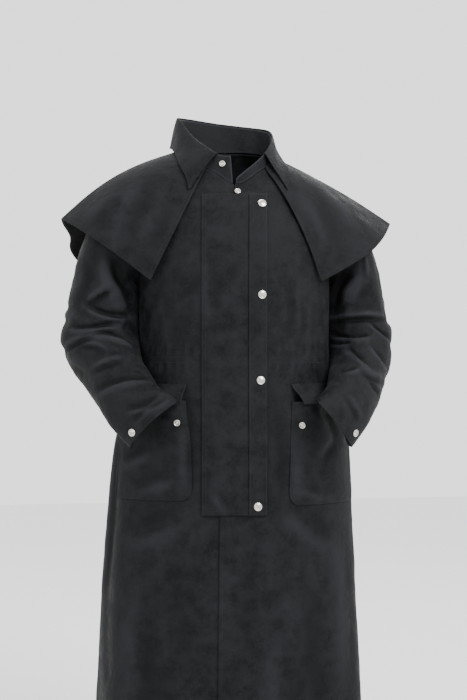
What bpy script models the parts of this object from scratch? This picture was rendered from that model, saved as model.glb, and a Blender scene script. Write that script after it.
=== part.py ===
"""A caped duster coat in waxed cotton, as it hangs on a wearer whose hands are at the pockets.

The coat is hollow, open at the neck, hem and cuffs. Each cut piece is a wall of cloth of its own.
+X is the wearer's left, -Y the front, and the origin is the middle of the neck opening.
"""

import math
from collections import namedtuple

import bmesh
import bpy
import numpy as np
from mathutils.bvhtree import BVHTree

# Driving dimensions, in metres.
CLOTH = 0.0016
SEAM = 0.0004
LAYER_GAP = 0.0009
CHEST_Z = -0.270
HEM_Z = -1.307
BODY_Y = -0.045
ROUNDING = 2.2
OVERLAP_LIFT = 0.0027
ARM_TOP = 0.45
ARMHOLE_FRONT = 23.5
ARMHOLE_BACK = 25.0
FLAP_TOP = -0.0930
FLAP_BOTTOM = -0.7520
POCKET_OUTER = 0.2450
POCKET_FLAP_OUTER = 0.2390
POCKET_FLAP_TOP = -0.4850
POCKET_FLAP_BOTTOM = -0.5300
SNAP_RADIUS = 0.0086
STUD_RADIUS = 0.0068

# The body below the chest line: half width and the depths in front of and behind the side seam.
Ring = namedtuple("Ring", "below half_width front back")
BODY_RINGS = (
    Ring(0.000, 0.2070, 0.155, 0.150),
    Ring(0.080, 0.2065, 0.154, 0.145),
    Ring(0.165, 0.2070, 0.150, 0.139),
    Ring(0.235, 0.2240, 0.156, 0.146),
    Ring(0.310, 0.2480, 0.164, 0.158),
    Ring(0.440, 0.2600, 0.172, 0.172),
    Ring(0.650, 0.2740, 0.184, 0.188),
    Ring(0.860, 0.2835, 0.196, 0.203),
    Ring(1.037, 0.2900, 0.204, 0.214),
)

# How far the body leans towards the wearer's left, by how far down the coat.
Lean = namedtuple("Lean", "down across")
BODY_LEAN = (
    Lean(0.0, 0.000),
    Lean(0.5, 0.003),
    Lean(1.0, 0.007),
    Lean(1.2, 0.006),
    Lean(1.4, 0.000),
    Lean(2.0, 0.000),
)

# Lines from the neck seam over the shoulder to the chest, by turn about the body: the neck, then
# the two points that pull the line outwards. Turn -90 is the centre front, 0 the side, 90 the back.
# The first and last rows are past the centre, so that the lines cross it level.
Rib = namedtuple("Rib", "turn neck_x neck_y neck_z over_x over_y over_z chest_x chest_y chest_z")
YOKE_RIBS = (
    Rib(-118, -0.045, -0.113, -0.043, -0.066, -0.148, -0.084, -0.100, -0.186, -0.165),
    Rib(-90, 0.000, -0.128, -0.070, 0.000, -0.158, -0.100, 0.000, -0.199, -0.175),
    Rib(-62, 0.045, -0.113, -0.043, 0.066, -0.148, -0.084, 0.100, -0.186, -0.165),
    Rib(-35, 0.078, -0.083, -0.021, 0.120, -0.112, -0.058, 0.172, -0.146, -0.135),
    Rib(-15, 0.0935, -0.043, -0.006, 0.160, -0.065, -0.043, 0.206, -0.092, -0.100),
    Rib(0, 0.097, -0.003, 0.001, 0.182, -0.018, -0.032, 0.222, -0.043, -0.088),
    Rib(20, 0.090, 0.034, 0.012, 0.164, 0.038, -0.023, 0.205, 0.018, -0.098),
    Rib(50, 0.058, 0.064, 0.020, 0.108, 0.092, -0.004, 0.148, 0.082, -0.125),
    Rib(90, 0.000, 0.078, 0.022, 0.000, 0.108, -0.010, 0.000, 0.112, -0.150),
    Rib(130, -0.058, 0.064, 0.020, -0.108, 0.092, -0.004, -0.148, 0.082, -0.125),
)

# The skirt's flutes: turn, where they start below the chest, half width in degrees, and depth.
Flute = namedtuple("Flute", "turn start width depth")
SKIRT_FLUTES = (
    Flute(-152, 0.36, 9, 0.010),
    Flute(-128, 0.48, 7, -0.008),
    Flute(-58, 0.44, 8, -0.009),
    Flute(-30, 0.34, 9, 0.011),
    Flute(-4, 0.40, 8, -0.010),
    Flute(22, 0.26, 9, 0.013),
    Flute(47, 0.38, 9, -0.012),
    Flute(71, 0.28, 9, 0.014),
    Flute(96, 0.40, 9, -0.011),
    Flute(121, 0.30, 9, 0.013),
    Flute(146, 0.42, 8, -0.011),
    Flute(168, 0.34, 8, 0.010),
)

# The fronts' edges, across from the centre, by how far down the coat they are.
Edge = namedtuple("Edge", "down left right")
FRONT_EDGES = (
    Edge(0.0, -0.006, -0.008),
    Edge(1.0, -0.034, 0.024),
    Edge(1.5, -0.0535, 0.030),
    Edge(2.0, -0.062, 0.034),
)

# Rings of the sleeve: its outer and inner side, and half the depth across them.
Cuff = namedtuple("Cuff", "along outer_x outer_y outer_z inner_x inner_y inner_z depth")
SLEEVE_RINGS = (
    Cuff(0.10, 0.2330, -0.043, -0.077, 0.2125, -0.043, -0.274, 0.0715),
    Cuff(0.17, 0.2670, -0.043, -0.100, 0.2130, -0.043, -0.277, 0.0720),
    Cuff(0.25, 0.2985, -0.042, -0.144, 0.2140, -0.043, -0.282, 0.0720),
    Cuff(0.32, 0.3190, -0.040, -0.200, 0.2150, -0.043, -0.290, 0.0720),
    Cuff(0.39, 0.3350, -0.038, -0.260, 0.2165, -0.043, -0.305, 0.072),
    Cuff(0.46, 0.3510, -0.036, -0.322, 0.2180, -0.043, -0.338, 0.072),
    Cuff(0.53, 0.3630, -0.038, -0.378, 0.2190, -0.046, -0.372, 0.073),
    Cuff(0.60, 0.3620, -0.044, -0.420, 0.2190, -0.065, -0.403, 0.071),
    Cuff(0.68, 0.3480, -0.064, -0.460, 0.2130, -0.108, -0.432, 0.064),
    Cuff(0.76, 0.3210, -0.100, -0.503, 0.1990, -0.160, -0.460, 0.053),
    Cuff(0.84, 0.2920, -0.143, -0.545, 0.1810, -0.202, -0.486, 0.043),
    Cuff(0.92, 0.2630, -0.180, -0.582, 0.1610, -0.228, -0.506, 0.035),
    Cuff(1.00, 0.2340, -0.205, -0.615, 0.1420, -0.244, -0.519, 0.029),
)

# How far outwards each sleeve's outer and inner sides hang from those rings.
Hang = namedtuple("Hang", "along right_outer right_inner right_ahead left_outer left_inner left_ahead")
SLEEVE_HANG = (
    Hang(0.10, 0.000, 0.000, 0.000, 0.000, 0.008, 0.000),
    Hang(0.25, 0.002, -0.001, 0.000, -0.003, 0.010, 0.000),
    Hang(0.32, 0.006, -0.001, 0.000, -0.007, 0.010, 0.000),
    Hang(0.46, 0.001, -0.002, 0.000, -0.003, 0.009, 0.000),
    Hang(0.53, 0.002, -0.003, 0.000, -0.008, 0.008, 0.000),
    Hang(0.60, -0.004, -0.008, 0.000, -0.009, 0.006, 0.001),
    Hang(0.68, -0.007, -0.007, 0.001, -0.006, 0.002, 0.004),
    Hang(0.76, -0.010, -0.005, 0.003, -0.006, -0.002, 0.010),
    Hang(0.84, -0.005, -0.004, 0.005, -0.009, -0.006, 0.015),
    Hang(0.92, 0.001, -0.005, 0.006, -0.009, -0.009, 0.016),
    Hang(1.00, 0.000, -0.004, 0.006, -0.012, -0.007, 0.014),
)

# Creases pressed into a sleeve: from and to, by how far along it and by turn round it, where turn
# 0 is its outer side, 90 its front and 180 its inner side. Width and depth are in metres.
Crease = namedtuple("Crease", "along_1 turn_1 along_2 turn_2 width depth")
RIGHT_CREASES = (
    Crease(0.40, 60, 0.47, 140, 0.020, 0.007),
    Crease(0.49, 5, 0.48, 100, 0.017, 0.008),
    Crease(0.50, 60, 0.57, 165, 0.018, 0.009),
    Crease(0.60, 40, 0.66, 130, 0.018, 0.005),
    Crease(0.74, 30, 0.70, 120, 0.020, 0.006),
    Crease(0.84, 60, 0.78, 140, 0.018, 0.005),
    Crease(0.30, 200, 0.42, 260, 0.024, 0.006),
    Crease(0.52, 200, 0.50, 320, 0.018, 0.008),
    Crease(0.66, 215, 0.70, 310, 0.020, 0.006),
)
LEFT_CREASES = (
    Crease(0.44, 20, 0.45, 170, 0.018, 0.009),
    Crease(0.50, 10, 0.48, 120, 0.017, 0.008),
    Crease(0.55, 60, 0.56, 170, 0.018, 0.008),
    Crease(0.62, 30, 0.68, 110, 0.018, 0.006),
    Crease(0.72, 20, 0.80, 100, 0.020, 0.006),
    Crease(0.66, 110, 0.70, 175, 0.018, 0.006),
    Crease(0.34, 210, 0.44, 300, 0.024, 0.006),
    Crease(0.55, 195, 0.52, 330, 0.018, 0.008),
    Crease(0.76, 210, 0.72, 300, 0.020, 0.006),
)

# The cape by distance round its hem from the front edge (0) over the shoulder seam (1) to the
# centre back (2): the point that lifts it off the shoulders, and its hem.
Fall = namedtuple("Fall", "round lift_x lift_y lift_z hem_x hem_y hem_z sag")
CAPE_FRONT = (
    Fall(0.00, 0.1240, -0.182, -0.136, 0.180, -0.156, -0.272, 0.000),
    Fall(0.30, 0.1720, -0.158, -0.090, 0.237, -0.152, -0.230, 0.010),
    Fall(0.60, 0.1990, -0.118, -0.064, 0.294, -0.128, -0.188, 0.016),
    Fall(0.82, 0.2170, -0.066, -0.050, 0.334, -0.080, -0.157, 0.011),
    Fall(1.00, 0.2280, -0.012, -0.0455, 0.362, -0.020, -0.136, 0.000),
)
CAPE_BACK = (
    Fall(1.00, 0.2280, -0.012, -0.0455, 0.362, -0.020, -0.136, 0.0),
    Fall(1.12, 0.2260, 0.020, -0.0485, 0.354, 0.022, -0.150, 0.0),
    Fall(1.24, 0.2190, 0.052, -0.055, 0.334, 0.060, -0.168, 0.0),
    Fall(1.36, 0.2080, 0.084, -0.068, 0.339, 0.098, -0.187, 0.0),
    Fall(1.50, 0.1880, 0.110, -0.080, 0.312, 0.136, -0.222, 0.0),
    Fall(1.66, 0.1360, 0.132, -0.100, 0.232, 0.160, -0.272, 0.0),
    Fall(1.83, 0.0720, 0.142, -0.116, 0.120, 0.158, -0.312, 0.0),
    Fall(2.00, 0.0000, 0.140, -0.124, 0.000, 0.154, -0.326, 0.0),
)

# The collar from its right front end, round the back, to its left front end: turn of the neck
# seam below, the fold at its top, and the free edge of the turned-down leaf.
Stand = namedtuple("Stand", "station turn fold_x fold_y fold_z edge_x edge_y edge_z")
COLLAR = (
    Stand(0.0, -96, -0.0120, -0.114, -0.006, -0.090, -0.150, -0.110),
    Stand(1.0, -110, -0.0380, -0.106, -0.004, -0.104, -0.133, -0.087),
    Stand(2.0, -126, -0.0570, -0.084, 0.012, -0.1085, -0.130, -0.064),
    Stand(3.0, -147, -0.0810, -0.043, 0.038, -0.1145, -0.098, -0.032),
    Stand(4.0, -172, -0.1020, 0.012, 0.082, -0.1220, -0.018, 0.014),
    Stand(5.0, -202, -0.0980, 0.052, 0.093, -0.1170, 0.068, 0.030),
    Stand(6.0, -236, -0.0600, 0.084, 0.094, -0.0720, 0.108, 0.032),
    Stand(7.0, -270, 0.0000, 0.096, 0.088, 0.0000, 0.124, 0.028),
    Stand(8.0, -304, 0.0600, 0.084, 0.081, 0.0720, 0.106, 0.024),
    Stand(9.0, -338, 0.0970, 0.047, 0.070, 0.1085, 0.059, 0.018),
    Stand(10.0, -368, 0.0985, 0.005, 0.053, 0.1095, -0.012, 0.008),
    Stand(11.0, -393, 0.0880, -0.046, 0.029, 0.1030, -0.090, -0.037),
    Stand(12.0, -416, 0.0630, -0.096, 0.000, 0.0995, -0.135, -0.085),
    Stand(13.0, -436, 0.0300, -0.121, -0.028, 0.0900, -0.150, -0.110),
    Stand(14.0, -452, -0.0040, -0.133, -0.055, 0.0800, -0.160, -0.130),
)
LEAF_START = 1.0
LEAF_END = 12.0
FOLD_ROLL = 0.009

# Steps in a search for a place on the coat.
HALVINGS = 26

CLOTH_HEX = "26282B"
METAL_HEX = "B9B7B0"
SHARP_ANGLE = math.radians(50)


def clear_scene():
    for thing in list(bpy.data.objects):
        bpy.data.objects.remove(thing, do_unlink=True)


def material(name, colour_hex, roughness, metallic):
    made = bpy.data.materials.new(name)
    made.use_nodes = True
    shader = made.node_tree.nodes["Principled BSDF"]
    srgb = [int(colour_hex[i : i + 2], 16) / 255 for i in (0, 2, 4)]
    shader.inputs["Base Color"].default_value = [c**2.2 for c in srgb] + [1.0]
    shader.inputs["Roughness"].default_value = roughness
    shader.inputs["Metallic"].default_value = metallic
    return made


CURVES = {}


def smooth(rows, at):
    """The columns after the first, on a smooth curve through the rows, at this value of the first."""
    if rows not in CURVES:
        data = np.array(rows, float)
        CURVES[rows] = data[:, 0], data[:, 1:], np.gradient(data[:, 1:], data[:, 0], axis=0)
    keys, values, slopes = CURVES[rows]
    i = int(np.clip(np.searchsorted(keys, at) - 1, 0, len(keys) - 2))
    span = keys[i + 1] - keys[i]
    t = (at - keys[i]) / span
    if t < 0:
        return values[i] + slopes[i] * (at - keys[i])
    if t > 1:
        return values[i + 1] + slopes[i + 1] * (at - keys[i + 1])
    start = values[i] * (2 * t**3 - 3 * t**2 + 1) + values[i + 1] * (3 * t**2 - 2 * t**3)
    return start + span * (slopes[i] * (t**3 - 2 * t**2 + t) + slopes[i + 1] * (t**3 - t**2))


def ease(value):
    """0 to 1, starting and ending level."""
    t = min(max(value, 0.0), 1.0)
    return t * t * (3 - 2 * t)


def unit(vector):
    return vector / max(np.linalg.norm(vector), 1e-12)


def wrapped(turn):
    """The same turn between -180 and 180."""
    return (turn + 180) % 360 - 180


def rounded(value):
    return math.copysign(abs(value) ** (2 / ROUNDING), value)


def ring_point(turn, below):
    half_width, front, back = smooth(BODY_RINGS, below)
    across, forward = math.cos(math.radians(turn)), math.sin(math.radians(turn))
    depth = front if forward < 0 else back
    y = BODY_Y + depth * rounded(forward)
    return np.array([half_width * rounded(across), y, CHEST_Z - below])


def yoke_point(turn, down):
    """On the shoulders: down is 0 at the neck seam and 1 at the chest line."""
    turn = wrapped(turn)
    side = 1 if abs(turn) <= 90 else -1
    near = turn if side > 0 else math.copysign(180 - abs(turn), turn)
    rib = smooth(YOKE_RIBS, near)
    last = ring_point(near, 0.0)
    up = 1 - down
    point = rib[0:3] * up**3 + rib[3:6] * 3 * up**2 * down
    point = point + rib[6:9] * 3 * up * down**2 + last * down**3
    return point * np.array([side, 1, 1])


def flute_lift(turn, below):
    lift = 0.0
    for flute in SKIRT_FLUTES:
        away = wrapped(turn - flute.turn) / flute.width
        grown = ease((below - flute.start) / (CHEST_Z - HEM_Z - flute.start))
        lift += flute.depth * grown * math.exp(-away * away)
    return lift


def body_plain(turn, down):
    lean = np.array([smooth(BODY_LEAN, down)[0], 0, 0])
    if down <= 1:
        return yoke_point(turn, down) + lean
    below = (down - 1) * (CHEST_Z - HEM_Z)
    point = ring_point(turn, below)
    outward = unit(point - np.array([0, BODY_Y, point[2]]))
    return point + outward * flute_lift(turn, below) + lean


def normal_of(surface, a, b, step_a, step_b):
    along_a = surface(a + step_a, b) - surface(a - step_a, b)
    along_b = surface(a, b + step_b) - surface(a, b - step_b)
    return unit(np.cross(along_a, along_b))


def body_normal(turn, down):
    return -normal_of(body_plain, turn, down, 0.5, 0.002)


def body_point(turn, down, lift=0.0):
    """On the body's outer face, or this far out of it."""
    return body_plain(turn, down) + body_normal(turn, down) * lift


def down_at(z):
    """How far down the coat a height is, below the chest line."""
    return 1 + (CHEST_Z - z) / (CHEST_Z - HEM_Z)


def front_turn(x, down):
    """The turn at which the front has this x, this far down."""
    low, high = -178.0, -2.0
    for _ in range(HALVINGS):
        middle = (low + high) / 2
        low, high = (middle, high) if body_plain(middle, down)[0] < x else (low, middle)
    return low


def front_place(x, z):
    """Turn and down of the point of the front with this x and z."""
    if z <= CHEST_Z:
        return front_turn(x, down_at(z)), down_at(z)
    low, high = 0.0, 1.0
    for _ in range(HALVINGS):
        middle = (low + high) / 2
        higher = body_plain(front_turn(x, middle), middle)[2] > z
        low, high = (middle, high) if higher else (low, middle)
    return front_turn(x, low), low


def wall(name, made_of, points, inward, closed=False):
    """A cloth wall: points[row][column] is its outer face, and inward leads to its inner face."""
    points = np.array(points, float)
    inside = points + np.array(inward, float) * CLOTH
    rows, columns = points.shape[:2]
    mesh = bmesh.new()
    outer = [[mesh.verts.new(p) for p in row] for row in points]
    inner = [[mesh.verts.new(p) for p in row] for row in inside]
    last = columns if closed else columns - 1
    for i in range(rows - 1):
        for j in range(last):
            k = (j + 1) % columns
            mesh.faces.new((outer[i][j], outer[i][k], outer[i + 1][k], outer[i + 1][j]))
            mesh.faces.new((inner[i][j], inner[i + 1][j], inner[i + 1][k], inner[i][k]))
    for j in range(last):
        k = (j + 1) % columns
        mesh.faces.new((outer[0][k], outer[0][j], inner[0][j], inner[0][k]))
        mesh.faces.new((outer[-1][j], outer[-1][k], inner[-1][k], inner[-1][j]))
    for i in range(0 if closed else rows - 1):
        mesh.faces.new((outer[i][0], outer[i + 1][0], inner[i + 1][0], inner[i][0]))
        mesh.faces.new((outer[i + 1][-1], outer[i][-1], inner[i][-1], inner[i + 1][-1]))
    bmesh.ops.recalc_face_normals(mesh, faces=mesh.faces[:])
    finish(name, made_of, mesh)


def finish(name, made_of, mesh):
    data = bpy.data.meshes.new(name)
    mesh.to_mesh(data)
    mesh.free()
    data.materials.append(made_of)
    data.shade_smooth()
    data.set_sharp_from_angle(angle=SHARP_ANGLE)
    bpy.context.scene.collection.objects.link(bpy.data.objects.new(name, data))


def face_grid(surface, values_a, values_b, sign, step_a, step_b):
    """Points and inward directions of surface(a, b), a across the columns and b down the rows."""
    points, inward = [], []
    for b in values_b:
        points.append([surface(a, b) for a in values_a])
        inward.append([normal_of(surface, a, b, step_a, step_b) * sign for a in values_a])
    return points, inward


def trees_of(names):
    """The named pieces' faces, to find where they lie beneath another piece."""
    trees = []
    for name in names:
        mesh = bmesh.new()
        mesh.from_mesh(bpy.data.objects[name].data)
        trees.append(BVHTree.FromBMesh(mesh))
        mesh.free()
    return trees


LAY_REACH = 0.060


def laid_over(point, outward, trees, gap):
    """The point of an outer face, moved out where the wall would not clear the pieces beneath."""
    start = point + outward * LAY_REACH
    moved = 0.0
    for tree in trees:
        place, _, _, distance = tree.ray_cast(start, -outward, LAY_REACH + CLOTH + gap)
        if place is not None:
            moved = max(moved, LAY_REACH + CLOTH + gap - distance)
    return point + outward * moved


def lay_grid(points, inward, names, gap, first_row=1):
    """Every point from this row down, laid over the named pieces."""
    trees = trees_of(names)
    for i in range(first_row, len(points)):
        points[i] = [laid_over(p, -n, trees, gap) for p, n in zip(points[i], inward[i])]
    return points


# The body: two fronts and a back, cut away at the neck and the armholes.
FRONT_COLUMNS = 11
BACK_COLUMNS = 17
OVERLAP_FLAT = 0.065
OVERLAP_SLOPE = 0.045
YOKE_ROWS = (0, 0.14, 0.28, 0.45, 0.49, 0.57, 0.68, 0.80, 0.91, 0.97, 1)
SKIRT_DROPS = (0.05, 0.11, 0.165, 0.20, 0.25, 0.31, 0.38, 0.47, 0.57, 0.67, 0.77, 0.87, 0.96, 1.037)
BODY_ROWS = YOKE_ROWS + tuple(1 + drop / (CHEST_Z - HEM_Z) for drop in SKIRT_DROPS)


def armhole(down, widest):
    """Half the armhole's opening, in degrees of turn."""
    share = (down - ARM_TOP) / (1 - ARM_TOP)
    if not 0 < share < 1:
        return 0.0
    return widest * math.sin(math.pi * share**0.9) ** 0.62


def seam_turn(down):
    """The half seam allowance left at the side, as a turn."""
    reach = np.linalg.norm(body_plain(0, down)[:2] - np.array([0, BODY_Y / 2]))
    return math.degrees(SEAM / 2 / reach)


def overlap_lift(x):
    """The left front lies on the right one near the centre."""
    return OVERLAP_LIFT * (1 - ease((x - OVERLAP_FLAT) / OVERLAP_SLOPE))


def no_lift(x):
    return 0.0


def body_panel(name, cloth, columns, turns_at, lift_at):
    """A panel of the body between the turns that turns_at(down) gives for its two edges."""
    points, inward = [], []
    for down in BODY_ROWS:
        first, last = turns_at(down)
        row, row_inward = [], []
        for j in range(columns):
            turn = first + (last - first) * j / (columns - 1)
            normal = body_normal(turn, down)
            plain = body_plain(turn, down)
            row.append(plain + normal * lift_at(plain[0]))
            row_inward.append(-normal)
        points.append(row)
        inward.append(row_inward)
    wall(name, cloth, points, inward)


def left_front_turns(down):
    edge = front_turn(smooth(FRONT_EDGES, down)[0], down)
    return edge, -armhole(down, ARMHOLE_FRONT) - seam_turn(down)


def right_front_turns(down):
    edge = front_turn(smooth(FRONT_EDGES, down)[1], down)
    return -180 + armhole(down, ARMHOLE_FRONT) + seam_turn(down), edge


def back_turns(down):
    inset = armhole(down, ARMHOLE_BACK) + seam_turn(down)
    return inset, 180 - inset


def make_body(cloth):
    body_panel("front_left", cloth, FRONT_COLUMNS, left_front_turns, overlap_lift)
    body_panel("front_right", cloth, FRONT_COLUMNS, right_front_turns, no_lift)
    body_panel("back", cloth, BACK_COLUMNS, back_turns, no_lift)


# The sleeves: each starts on the armhole's edge and runs through the rings of the table.
SLEEVE_SIDES = 22
UPPER_ROWS = (0.0, 0.05, 0.10, 0.17, 0.25, 0.32, 0.39)
ELBOW_ROWS = (0.44, 0.485, 0.53, 0.575, 0.62)
LOWER_ROWS = (0.68, 0.74, 0.80, 0.86, 0.93, 1.0)
SLEEVE_ROWS = UPPER_ROWS + ELBOW_ROWS + LOWER_ROWS
SLEEVE_START_LIFT = 0.0016
CUFF_BACK_FLAT = 0.80
CREASE_LENGTH = 0.62
CREASE_RADIUS = 0.070

# The upper sleeve rests against the body's side, over these turns and this share of its length.
REST_GAP = 0.0022
REST_REACH = 0.080
REST_LIMIT = 0.026
REST_TURNS = (148, 172, 215, 251)
REST_ALONG = (0.14, 0.24, 0.56, 0.68)

# How much shorter the back of each cuff is, and how much longer its front, as shares of the sleeve.
CUFF_CUT_RIGHT = 0.072
CUFF_CUT_LEFT = 0.075
CUFF_CUT_TURN = 22
CUFF_REACH_LEFT = 0.028


def armhole_point(side, turn):
    """A point of the armhole's edge, by turn round the sleeve: 0 is the top, 90 the front."""
    share = (1 - math.cos(math.radians(turn))) / 2
    down = ARM_TOP + (1 - ARM_TOP) * min(max(share, 0.004), 0.996)
    in_front = math.sin(math.radians(turn)) > 0
    away = -armhole(down, ARMHOLE_FRONT) if in_front else armhole(down, ARMHOLE_BACK)
    return body_point(away if side > 0 else 180 - away, down, SLEEVE_START_LIFT)


def sleeve_sides(side, along):
    """The sleeve's outer and inner points and its half depth."""
    ring, hang = smooth(SLEEVE_RINGS, along), smooth(SLEEVE_HANG, along)
    outer_out, inner_out, ahead = hang[3:6] if side > 0 else hang[0:3]
    mirror = np.array([side, 1, 1])
    outer = (ring[0:3] + np.array([outer_out, -ahead, 0])) * mirror
    inner = (ring[3:6] + np.array([inner_out, -ahead, 0])) * mirror
    return outer, inner, ring[6]


def sleeve_ring_point(side, turn, along):
    """On the sleeve's plain tube past the armhole."""
    outer, inner, depth = sleeve_sides(side, along)
    before, after = sleeve_sides(side, along - 0.02), sleeve_sides(side, along + 0.02)
    tangent = unit((after[0] + after[1]) - (before[0] + before[1]))
    across = (outer - inner) / 2
    forward = unit(np.cross(tangent, unit(across)))
    if forward[1] > 0:
        forward = -forward
    c, s = math.cos(math.radians(turn)), math.sin(math.radians(turn))
    if s < 0:
        depth = depth * (1 - (1 - CUFF_BACK_FLAT) * ease((along - 0.6) / 0.4))
    return (outer + inner) / 2 + across * c + forward * depth * s


def between(value, limits):
    """0 outside the outer limits, 1 between the inner two, and smooth from one to the other."""
    rise, full, last, end = limits
    return ease((value - rise) / (full - rise)) * (1 - ease((value - last) / (end - last)))


def rested(point, side, turn, along, trees):
    """The point, moved across to the body where the sleeve rests against it."""
    share = between(turn, REST_TURNS) * between(along, REST_ALONG)
    across = np.array([-side, 0.0, 0.0])
    distances = [tree.ray_cast(point, across, REST_REACH)[3] for tree in trees if share]
    found = [distance - REST_GAP for distance in distances if distance is not None]
    return point + across * share * min(max(min(found), 0.0), REST_LIMIT) if found else point


def sleeve_plain(side, turn, along):
    cut = CUFF_CUT_LEFT if side > 0 else CUFF_CUT_RIGHT
    reach = CUFF_REACH_LEFT if side > 0 else 0.0
    near_cuff = ease((along - 0.7) / 0.3)
    along -= cut * max(0.0, -math.sin(math.radians(turn + CUFF_CUT_TURN))) * near_cuff
    along += reach * max(0.0, math.sin(math.radians(turn))) * near_cuff
    first = SLEEVE_RINGS[0].along
    if along >= first:
        return sleeve_ring_point(side, turn, along)
    start, ring = armhole_point(side, turn), sleeve_ring_point(side, turn, first)
    return start + (ring - start) * (along / first)


def sleeve_cloth(along, turn):
    """A place on the sleeve's cloth laid flat, in metres."""
    return np.array([along * CREASE_LENGTH, math.radians(turn) * CREASE_RADIUS])


def crease_depth(creases, turn, along):
    """How far the creases press the sleeve in, at a point by turn round it and share along it."""
    pressed = 0.0
    here = sleeve_cloth(along, turn % 360)
    for crease in creases:
        start = sleeve_cloth(crease.along_1, crease.turn_1)
        end = sleeve_cloth(crease.along_2, crease.turn_2)
        share = np.dot(here - start, end - start) / np.dot(end - start, end - start)
        nearest = start + (end - start) * min(max(share, 0.0), 1.0)
        away = np.linalg.norm(here - nearest) / crease.width
        pressed += crease.depth * math.exp(-away * away * 2)
    return pressed


def make_sleeve(name, cloth, side, creases):
    points, inward = [], []
    turns = [360 * j / SLEEVE_SIDES for j in range(SLEEVE_SIDES)]

    trees = trees_of(["back", "front_left" if side > 0 else "front_right"])

    def surface(turn, along):
        return rested(sleeve_plain(side, turn, along), side, turn, along, trees)

    for along in SLEEVE_ROWS:
        row, row_inward = [], []
        at = max(along, 0.02)
        for turn in turns:
            normal = normal_of(surface, turn, at, 2.0, 0.01) * side
            row.append(surface(turn, along) - normal * crease_depth(creases, turn, along))
            row_inward.append(-normal)
        points.append(row)
        inward.append(row_inward)
    wall(name, cloth, points, inward, closed=True)


# The collar: a stand that rises from the neck seam, and a leaf that folds down over it.
STAND_BASE_GAP = 0.0011
LEAF_SIDE_GAP = 0.0042
LEAF_BEND = 0.35
FOLD_GAP = SEAM + 0.9 * CLOTH
FOLD_ROLL_OUT = 0.0036
STAND_COLUMNS = 27
LEAF_COLUMNS = 25


def stand_point(station, rise):
    row = smooth(COLLAR, station)
    lift = overlap_lift(body_plain(row[0], 0)[0]) if station > 7 else 0.0
    base = body_point(row[0], 0, lift) + np.array([0, 0, STAND_BASE_GAP])
    return base + (row[1:4] - base) * rise


def leaf_point(station, drop):
    """On the leaf's upper face, from the fold on top of the stand to its free edge."""
    row = smooth(COLLAR, station)
    edge = row[4:7]
    outward = unit((edge - row[1:4]) * np.array([1, 1, 0]))
    fold = row[1:4] - outward * CLOTH + np.array([0, 0, FOLD_GAP])
    rolled = fold + np.array([0, 0, FOLD_ROLL]) + outward * FOLD_ROLL_OUT
    middle = fold + (edge - fold) * LEAF_BEND + outward * FOLD_ROLL
    up = 1 - drop
    return fold * up**3 + rolled * 3 * up**2 * drop + middle * 3 * up * drop**2 + edge * drop**3


def make_stand(cloth):
    stations = np.linspace(COLLAR[0].station, COLLAR[-1].station, STAND_COLUMNS)
    points, inward = face_grid(stand_point, stations, (0.0, 0.5, 1.0), 1, 0.05, 0.02)
    wall("collar_stand", cloth, points, inward)


def make_leaf(cloth):
    stations = np.linspace(LEAF_START, LEAF_END, LEAF_COLUMNS)
    drops = (0.0, 0.10, 0.22, 0.40, 0.60, 0.80, 1.0)
    points, inward = face_grid(leaf_point, stations, drops, -1, 0.05, 0.01)
    beneath = ["collar_stand", "cape_back", "cape_front_left", "cape_front_right"]
    beneath += ["front_left", "front_right"]
    wall("collar_leaf", cloth, lay_grid(points, inward, beneath, LEAF_SIDE_GAP, 2), inward)


# The cape: two fronts that meet the back along the shoulder seams.
CAPE_ROWS = 9
CAPE_GAP = 0.0060
CAPE_RISE_LEFT = 0.06
CAPE_RISE_RIGHT = 0.18
NECK_GAP = 0.0019
RIGHT_SHOULDER_LIFT = 0.0130
FRONT_LEAN = -0.007
CAPE_MIDDLE = 2.0
FRONT_CAPE_COLUMNS = 11
HALF_BACK_COLUMNS = 12
SHOULDER_SEAM = SEAM / 0.20
CAPE_STEP_ROUND = 0.004
CAPE_STEP_DROP = 0.01

# Where the cape is sewn to the stand: the turn of the neck seam there.
Sewn = namedtuple("Sewn", "round turn")
CAPE_NECK = (
    Sewn(0.0, -52),
    Sewn(0.5, -24),
    Sewn(1.0, 2),
    Sewn(1.5, 46),
    Sewn(2.0, 90),
)


def station_at(side, turn):
    """The collar's station above a turn of the neck seam on the wearer's left or right."""
    sought = -360 + turn if side > 0 else -180 - turn
    low, high = (7.0, 14.0) if side > 0 else (0.0, 7.0)
    for _ in range(HALVINGS):
        middle = (low + high) / 2
        low, high = (middle, high) if smooth(COLLAR, middle)[0] > sought else (low, middle)
    return low


NECK_PLACES = {}


def cape_neck(side, distance):
    """Just clear of the stand's outer face, a little above the neck seam."""
    key = (side, round(distance, 5))
    if key not in NECK_PLACES:
        station = station_at(side, smooth(CAPE_NECK, distance)[0])
        rise = CAPE_RISE_LEFT + (CAPE_RISE_RIGHT - CAPE_RISE_LEFT) * ease((9 - station) / 4)
        inward = normal_of(stand_point, station, rise, 0.05, 0.02)
        NECK_PLACES[key] = stand_point(station, rise) - inward * NECK_GAP
    return NECK_PLACES[key]


def cape_point(table, side, distance, drop):
    fall = smooth(table, distance)
    mirror = np.array([side, 1, 1])
    neck = cape_neck(side, distance)
    lift, hem = fall[0:3] * mirror, fall[3:6] * mirror
    if side > 0:
        hem = hem - np.array([0, 0, fall[6]])
    hem = hem + np.array([FRONT_LEAN * max(1 - distance, 0), 0, 0])
    up = 1 - drop
    point = neck * up**2 + lift * 2 * up * drop + hem * drop**2
    if side < 0:
        raised = RIGHT_SHOULDER_LIFT * math.sin(math.pi * drop) * fall_share(distance)
        point = point + np.array([-raised, 0, raised])
    return point


def fall_share(distance):
    """1 at the shoulder seam and 0 at the front edge and behind the arm."""
    return 1 - ease(abs(distance - 1.0) / 0.7)


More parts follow.
